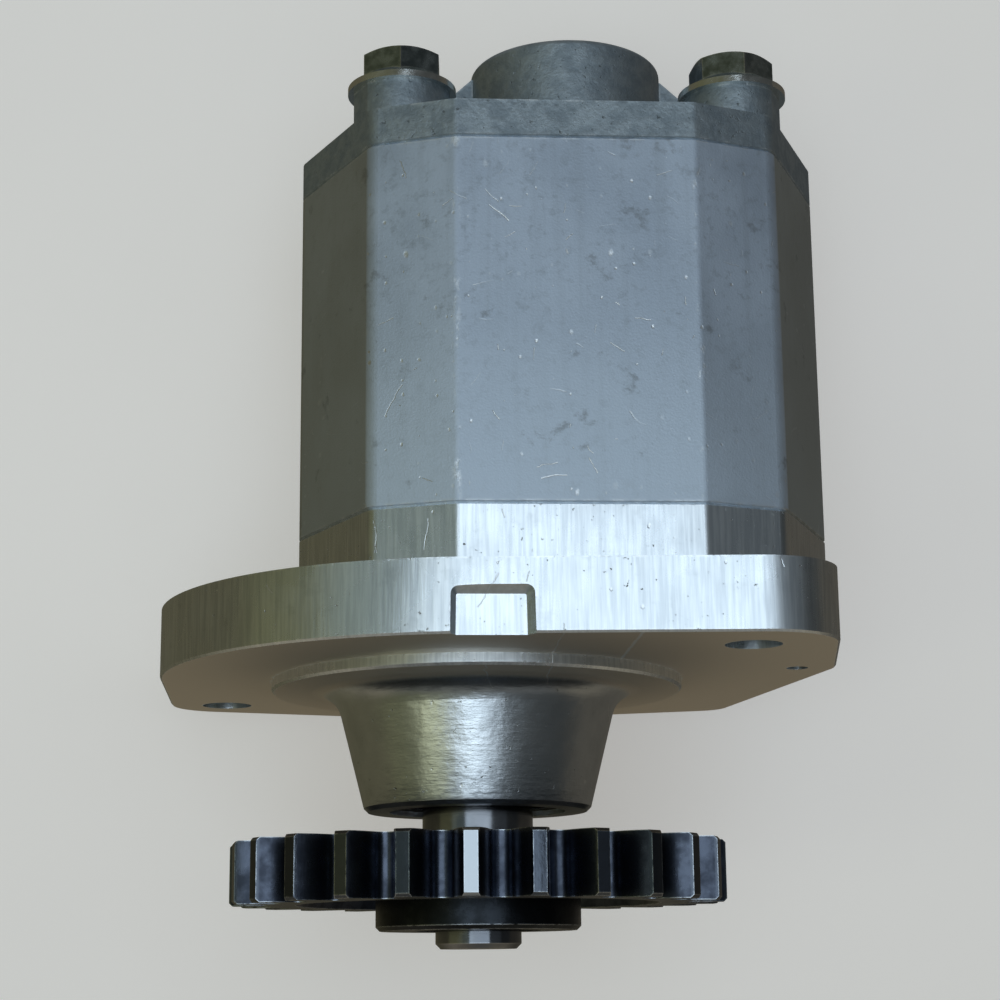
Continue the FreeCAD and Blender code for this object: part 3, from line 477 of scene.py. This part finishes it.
# ---------------------------------------------------------------- stage
def make_floor():
    """A pale floor, tilted so that the pump lies on the flange's rim and the rear cover's edge. The
    metal doesn't mirror it: what its sides show of the room below comes from the world."""
    touch = Vector((0, FLANGE_REST, FLANGE_LOW.z - FLOOR_GAP))
    rear = Vector((0, COVER_BACK, BODY_LOW.z - FLOOR_GAP))
    slope = (rear - touch).normalized()
    normal = Vector((1, 0, 0)).cross(slope).normalized()
    bpy.ops.mesh.primitive_plane_add(size=FLOOR_SIZE)
    floor = bpy.context.object
    floor.name = "floor"
    floor.matrix_world = Matrix.Translation(touch) @ normal.to_track_quat("Z", "Y").to_matrix().to_4x4()
    s = Shader("floor_paper")
    base = s.mix(s.step(s.noise(120, 4), 0.3, 0.7), (0.76, 0.745, 0.72), (0.80, 0.785, 0.76))
    material = s.finish(base, 0.9, metallic=0.0)
    s.surface.inputs["Emission Color"].default_value = (1.0, 0.98, 0.95, 1)
    s.surface.inputs["Emission Strength"].default_value = FLOOR_GLOW
    floor.data.materials.append(material)
    floor.visible_glossy = False


def add_light(name, direction, spread, radiance, tint):
    """A soft box that fills spread (degrees, side to side and end to end) as seen from the pump."""
    width, height = (2 * LIGHT_DISTANCE * math.tan(math.radians(angle / 2)) for angle in spread)
    data = bpy.data.lights.new(name, "AREA")
    data.shape = "RECTANGLE"
    data.size, data.size_y = width, height
    data.energy = math.pi * width * height * radiance
    data.color = tint
    light = bpy.data.objects.new(name, data)
    bpy.context.scene.collection.objects.link(light)
    away = Vector(direction).normalized()
    light.location = LIGHT_AIM + away * LIGHT_DISTANCE
    light.rotation_mode = "QUATERNION"
    light.rotation_quaternion = away.to_track_quat("Z", "Y")
    light.visible_camera = False


def make_lights():
    daylight, sky = (0.76, 0.885, 1.0), (0.62, 0.86, 1.0)
    leaves, leaves_low = (0.96, 1.0, 0.66), (1.0, 0.96, 0.50)
    add_light("window", (-0.03, -0.02, 1.0), (37, 46), 1.44, daylight)
    add_light("window_front", (-0.13, -0.37, 0.91), (44, 14), 0.80, daylight)
    add_light("window_side", (-0.60, 0.10, 0.79), (20, 40), 0.17, sky)
    add_light("window_far", (0.62, 0.10, 0.78), (24, 40), 0.08, daylight)
    add_light("hedge_front", (-0.63, -0.28, 0.72), (14, 22), 0.85, leaves)
    add_light("hedge", (-0.92, -0.06, 0.38), (20, 40), 0.09, leaves_low)


def make_world():
    """Pale to the camera. The metal sees a dim room: warmer below, brighter at the pump's two ends."""
    world = bpy.data.worlds.new("studio")
    bpy.context.scene.world = world
    world.use_nodes = True
    s = Nodes(world.node_tree, "Generated")
    x, y, z = s.axes()
    end, front_floor, paper = (0.22, 0.22, 0.21), (0.30, 0.265, 0.20), (0.72, 0.71, 0.69)
    above = s.mix(s.step(x, -0.7, 0.3), (0.095, 0.095, 0.052), (0.040, 0.043, 0.043))
    above = s.mix(s.step(y, -0.55, -0.95), above, end)
    below = s.mix(s.step(x, -0.6, 0.6), (0.090, 0.082, 0.050), (0.078, 0.071, 0.058))
    below = s.mix(s.step(y, -0.35, -0.9), below, front_floor)
    room = s.mix(s.step(z, -0.15, 0.15), below, above)
    room = s.mix(s.step(y, 0.35, 0.85), room, end)
    seen = s.node("ShaderNodeLightPath").outputs["Is Camera Ray"]
    s.link(s.mix(seen, room, paper), s.tree.nodes["Background"].inputs["Color"])


def make_camera():
    """Looks down on the blank face of the pump, a little from the drive end."""
    place = Vector((-22.8, -57.4, 423.1)) * MM
    aim = Vector((5.1, 37.8, 0.0)) * MM
    roll = math.radians(0.57)
    data = bpy.data.cameras.new("camera")
    data.lens, data.sensor_width = 75.8, 36
    data.clip_start = 0.01
    camera = bpy.data.objects.new("camera", data)
    bpy.context.scene.collection.objects.link(camera)
    back = (place - aim).normalized()
    up = Vector((0, 1, 0))
    up = (up - back * up.dot(back)).normalized()
    right = up.cross(back)
    up, right = up * math.cos(roll) + right * math.sin(roll), right * math.cos(roll) - up * math.sin(roll)
    turn = Matrix((right, up, back)).transposed().to_4x4()
    camera.matrix_world = Matrix.Translation(place) @ turn
    bpy.context.scene.camera = camera


# ---------------------------------------------------------------- the pump
make_camera()
make_floor()
make_lights()
make_world()
bpy.context.scene.view_settings.view_transform = "Standard"

body, cover = body_alloy(), cover_alloy()
paint(["pump_body"], body)
paint(["front_cover"], front_alloy())
paint(["rear_cover"], cover)
port_thread("inlet_thread", "inlet_port", Vector((0, -1, 0)), 0.75, cover)
port_thread("outlet_thread", "outlet_port", Vector((0, 0, 1)), 0.8, body)
paint(["body_bolts"], bolt_zinc())
paint(["drive_gear"], gear_steel(GEAR_RADIUS))
# painted shade: shaft and collar get a darker copy of the ground steel, as they stand in shadow
paint(["drive_shaft", "spacer_collar"],
      ground_steel("shaft_steel_painted_shade", (0.17, 0.18, 0.20), (0.28, 0.29, 0.31), 0.12, 0.20))
paint(["driven_gear", "bearing_outer_race", "bearing_inner_race",
       "bearing_balls", "front_dowels", "rear_dowels"],
      ground_steel("ground_steel", (0.42, 0.43, 0.45), (0.60, 0.61, 0.63), 0.18, 0.30))
paint(["bearing_cage"],
      ground_steel("cage_steel", (0.34, 0.33, 0.31), (0.50, 0.49, 0.46), 0.30, 0.42))
paint(["bearing_clip", "gear_clip", "gear_key", "seal_spring"],
      ground_steel("spring_steel", (0.10, 0.10, 0.11), (0.20, 0.20, 0.21), 0.28, 0.40))
paint(["front_bearing_block", "rear_bearing_block"],
      ground_steel("block_alloy", (0.48, 0.50, 0.52), (0.60, 0.62, 0.64), 0.34, 0.46))
paint(["front_drive_bush", "front_driven_bush", "rear_drive_bush", "rear_driven_bush"],
      ground_steel("bush_bronze", (0.46, 0.32, 0.17), (0.62, 0.45, 0.26), 0.26, 0.38))
paint(["front_body_seal", "rear_body_seal", "front_balance_seal", "rear_balance_seal", "shaft_seal"],
      seal_rubber())
